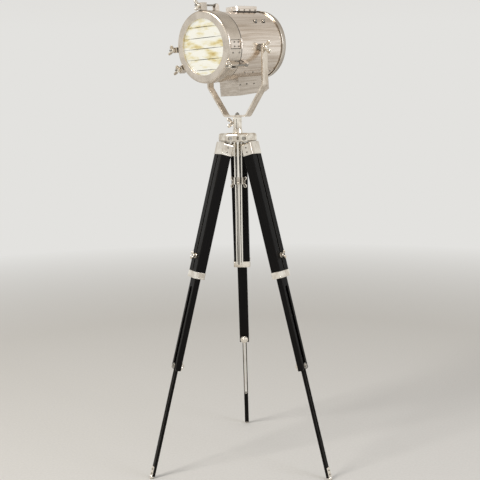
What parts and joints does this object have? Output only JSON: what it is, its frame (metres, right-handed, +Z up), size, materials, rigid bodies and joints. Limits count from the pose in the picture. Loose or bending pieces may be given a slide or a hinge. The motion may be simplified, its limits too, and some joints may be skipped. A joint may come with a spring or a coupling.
{
  "type": "tripod spotlight floor lamp",
  "caption": "Nickel spotlight head with glass strips, latches and a yoke on a sliding mast, on a folding, telescopic black wooden tripod.",
  "frame": {"origin": "on the floor, at the middle of the bounding box, with the mast a little forward of it", "axes": "+Z up; +Y towards the rear leg; the other legs stand front left and front right; the head faces front left, between -X and -Y"},
  "size_m": [0.6418, 0.597, 1.6412],
  "materials": {
    "polished_nickel": "polished warm nickel plate",
    "plated_steel": "nickel-plated turned steel",
    "polished_aluminium": "bright spun reflector",
    "black_lacquered_wood": "black satin lacquer",
    "clear_glass": "clear",
    "bulb_glass": "frosted warm white",
    "white_ceramic": "unglazed porcelain"
  },
  "bodies": {
    "hub": {"hub_casting": "polished_nickel", "leg_hinge_bolts": "plated_steel", "mast_sleeve": "polished_nickel", "sleeve_collar": "polished_nickel"},
    "mast": {"mast_tube": "polished_nickel"},
    "yoke": {"yoke_socket": "polished_nickel", "yoke_bracket": "polished_nickel", "yoke_bolt": "plated_steel"},
    "socket_screw": {"socket_screw": "polished_nickel"},
    "head": {"drum_shell": "polished_nickel", "rear_cover": "polished_nickel", "reflector": "polished_aluminium", "lamp_holder": "white_ceramic", "bulb": "bulb_glass", "vent_cap": "polished_nickel", "control_box": "polished_nickel", "box_side_plates": "polished_nickel", "cable_gland": "plated_steel", "terminal_block": "white_ceramic", "pivot_studs": "plated_steel", "front_door": "polished_nickel", "glass_strips": "clear_glass", "door_hinge": "polished_nickel"},
    "leg_left_upper": {"leg_cap_left": "polished_nickel", "leg_rails_left": "black_lacquered_wood", "leg_band_left": "polished_nickel"},
    "leg_left_middle": {"middle_bar_left": "black_lacquered_wood"},
    "leg_left_lower": {"lower_bar_left": "black_lacquered_wood", "foot_left": "polished_nickel"},
    "leg_right_upper": {"leg_cap_right": "polished_nickel", "leg_rails_right": "black_lacquered_wood", "leg_band_right": "polished_nickel"},
    "leg_right_middle": {"middle_bar_right": "black_lacquered_wood"},
    "leg_right_lower": {"lower_bar_right": "black_lacquered_wood", "foot_right": "polished_nickel"},
    "leg_rear_upper": {"leg_cap_rear": "polished_nickel", "leg_rails_rear": "black_lacquered_wood", "leg_band_rear": "polished_nickel"},
    "leg_rear_middle": {"middle_bar_rear": "black_lacquered_wood"},
    "leg_rear_lower": {"lower_bar_rear": "black_lacquered_wood", "foot_rear": "polished_nickel"},
    "upper_knob_left": {"upper_knob_left": "polished_nickel"},
    "lower_knob_left": {"lower_knob_left": "polished_nickel"},
    "upper_knob_right": {"upper_knob_right": "polished_nickel"},
    "lower_knob_right": {"lower_knob_right": "polished_nickel"},
    "upper_knob_rear": {"upper_knob_rear": "polished_nickel"},
    "lower_knob_rear": {"lower_knob_rear": "polished_nickel"},
    "swing_bolt_top": {"swing_bolt_top": "plated_steel"},
    "wing_nut_top": {"wing_nut_top": "polished_nickel"},
    "swing_bolt_lower_left": {"swing_bolt_lower_left": "plated_steel"},
    "wing_nut_lower_left": {"wing_nut_lower_left": "polished_nickel"},
    "swing_bolt_lower_right": {"swing_bolt_lower_right": "plated_steel"},
    "wing_nut_lower_right": {"wing_nut_lower_right": "polished_nickel"},
    "swing_bolt_right": {"swing_bolt_right": "plated_steel"},
    "wing_nut_right": {"wing_nut_right": "polished_nickel"},
    "pivot_knob_left": {"pivot_knob_left": "polished_nickel"},
    "pivot_knob_right": {"pivot_knob_right": "polished_nickel"},
    "collar_screw_front": {"collar_screw_front": "polished_nickel"},
    "collar_screw_left": {"collar_screw_left": "polished_nickel"},
    "collar_screw_right": {"collar_screw_right": "polished_nickel"}
  },
  "joints": [
    {"name": "mast_lift", "type": "slide", "parent": "hub", "child": "mast", "axis": [0, 0, 1], "range_m": [0, 0.28]},
    {"name": "head_pan", "type": "hinge", "parent": "mast", "child": "yoke", "pos_m": [0, -0.07199, 1.21853], "axis": [0, 0, 1], "range_deg": [-175, 175]},
    {"name": "head_tilt", "type": "hinge", "parent": "yoke", "child": "head", "pos_m": [0, -0.07199, 1.48753], "axis": [-0.788, 0.6157, 0], "range_deg": [-30, 65]},
    {"name": "leg_left_fold", "type": "hinge", "parent": "hub", "child": "leg_left_upper", "pos_m": [-0.03897, -0.09449, 1.18403], "axis": [0.5, -0.866, 0], "range_deg": [0, 14.8]},
    {"name": "leg_left_middle_slide", "type": "slide", "parent": "leg_left_upper", "child": "leg_left_middle", "axis": [0.2221, 0.1282, 0.9666], "range_m": [0, 0.29]},
    {"name": "leg_left_lower_slide", "type": "slide", "parent": "leg_left_middle", "child": "leg_left_lower", "axis": [0.2221, 0.1282, 0.9666], "range_m": [0, 0.25]},
    {"name": "leg_right_fold", "type": "hinge", "parent": "hub", "child": "leg_right_upper", "pos_m": [0.03897, -0.09449, 1.18403], "axis": [0.5, 0.866, 0], "range_deg": [0, 14.8]},
    {"name": "leg_right_middle_slide", "type": "slide", "parent": "leg_right_upper", "child": "leg_right_middle", "axis": [-0.2221, 0.1282, 0.9666], "range_m": [0, 0.29]},
    {"name": "leg_right_lower_slide", "type": "slide", "parent": "leg_right_middle", "child": "leg_right_lower", "axis": [-0.2221, 0.1282, 0.9666], "range_m": [0, 0.25]},
    {"name": "leg_rear_fold", "type": "hinge", "parent": "hub", "child": "leg_rear_upper", "pos_m": [0, -0.02699, 1.18403], "axis": [-1, 0, 0], "range_deg": [0, 14.8]},
    {"name": "leg_rear_middle_slide", "type": "slide", "parent": "leg_rear_upper", "child": "leg_rear_middle", "axis": [0, -0.2565, 0.9666], "range_m": [0, 0.29]},
    {"name": "leg_rear_lower_slide", "type": "slide", "parent": "leg_rear_middle", "child": "leg_rear_lower", "axis": [0, -0.2565, 0.9666], "range_m": [0, 0.25]},
    {"name": "upper_knob_left_turn", "type": "hinge", "parent": "leg_left_middle", "child": "upper_knob_left", "pos_m": [-0.13292, -0.14873, 0.77518], "axis": [-0.8371, -0.4833, 0.2565], "range_deg": [0, 180]},
    {"name": "lower_knob_left_turn", "type": "hinge", "parent": "leg_left_middle", "child": "lower_knob_left", "pos_m": [-0.22065, -0.19938, 0.39339], "axis": [-0.8371, -0.4833, 0.2565], "range_deg": [0, 180]},
    {"name": "upper_knob_right_turn", "type": "hinge", "parent": "leg_right_middle", "child": "upper_knob_right", "pos_m": [0.13292, -0.14873, 0.77518], "axis": [0.8371, -0.4833, 0.2565], "range_deg": [0, 180]},
    {"name": "lower_knob_right_turn", "type": "hinge", "parent": "leg_right_middle", "child": "lower_knob_right", "pos_m": [0.22065, -0.19938, 0.39339], "axis": [0.8371, -0.4833, 0.2565], "range_deg": [0, 180]},
    {"name": "upper_knob_rear_turn", "type": "hinge", "parent": "leg_rear_middle", "child": "upper_knob_rear", "pos_m": [0, 0.08149, 0.77518], "axis": [0, 0.9666, 0.2565], "range_deg": [0, 180]},
    {"name": "lower_knob_rear_turn", "type": "hinge", "parent": "leg_rear_middle", "child": "lower_knob_rear", "pos_m": [0, 0.18279, 0.39339], "axis": [0, 0.9666, 0.2565], "range_deg": [0, 180]},
    {"name": "swing_bolt_top_swing", "type": "hinge", "parent": "head", "child": "swing_bolt_top", "pos_m": [-0.06258, -0.15209, 1.62821], "axis": [-0.788, 0.6157, 0], "range_deg": [0, 105]},
    {"name": "wing_nut_top_turn", "type": "hinge", "parent": "swing_bolt_top", "child": "wing_nut_top", "pos_m": [-0.11275, -0.2163, 1.62108], "axis": [-0.6133, -0.785, -0.0872], "range_deg": [0, 180]},
    {"name": "swing_bolt_lower_left_swing", "type": "hinge", "parent": "head", "child": "swing_bolt_lower_left", "pos_m": [0.04041, -0.21016, 1.42648], "axis": [0.3475, -0.3673, 0.8627], "range_deg": [0, 105]},
    {"name": "wing_nut_lower_left_turn", "type": "hinge", "parent": "swing_bolt_lower_left", "child": "wing_nut_lower_left", "pos_m": [-0.00975, -0.27437, 1.41935], "axis": [-0.6133, -0.785, -0.0872], "range_deg": [0, 180]},
    {"name": "swing_bolt_lower_right_swing", "type": "hinge", "parent": "head", "child": "swing_bolt_lower_right", "pos_m": [-0.14384, -0.0662, 1.42648], "axis": [0.4405, -0.2484, -0.8627], "range_deg": [0, 105]},
    {"name": "wing_nut_lower_right_turn", "type": "hinge", "parent": "swing_bolt_lower_right", "child": "wing_nut_lower_right", "pos_m": [-0.19401, -0.13042, 1.41935], "axis": [-0.6133, -0.785, -0.0872], "range_deg": [0, 180]},
    {"name": "swing_bolt_right_swing", "type": "hinge", "parent": "head", "child": "swing_bolt_right", "pos_m": [-0.16172, -0.0597, 1.49372], "axis": [0.0537, 0.0687, -0.9962], "range_deg": [0, 105]},
    {"name": "wing_nut_right_turn", "type": "hinge", "parent": "swing_bolt_right", "child": "wing_nut_right", "pos_m": [-0.21189, -0.12392, 1.48659], "axis": [-0.6133, -0.785, -0.0872], "range_deg": [0, 180]},
    {"name": "pivot_knob_left_turn", "type": "hinge", "parent": "head", "child": "pivot_knob_left", "pos_m": [0.10197, -0.15166, 1.48753], "axis": [0.788, -0.6157, 0], "range_deg": [0, 180]},
    {"name": "pivot_knob_right_turn", "type": "hinge", "parent": "head", "child": "pivot_knob_right", "pos_m": [-0.10197, 0.00768, 1.48753], "axis": [-0.788, 0.6157, 0], "range_deg": [0, 180]},
    {"name": "collar_screw_front_turn", "type": "hinge", "parent": "hub", "child": "collar_screw_front", "pos_m": [0, -0.07199, 1.02828], "axis": [0, -1, 0], "range_deg": [0, 180]},
    {"name": "collar_screw_left_turn", "type": "hinge", "parent": "hub", "child": "collar_screw_left", "pos_m": [0, -0.07199, 1.02828], "axis": [-0.866, 0.5, 0], "range_deg": [0, 180]},
    {"name": "collar_screw_right_turn", "type": "hinge", "parent": "hub", "child": "collar_screw_right", "pos_m": [0, -0.07199, 1.02828], "axis": [0.866, 0.5, 0], "range_deg": [0, 180]},
    {"name": "socket_screw_turn", "type": "hinge", "parent": "yoke", "child": "socket_screw", "pos_m": [0, -0.07199, 1.23853], "axis": [-0.9994, -0.0349, 0], "range_deg": [0, 180]}
  ]
}
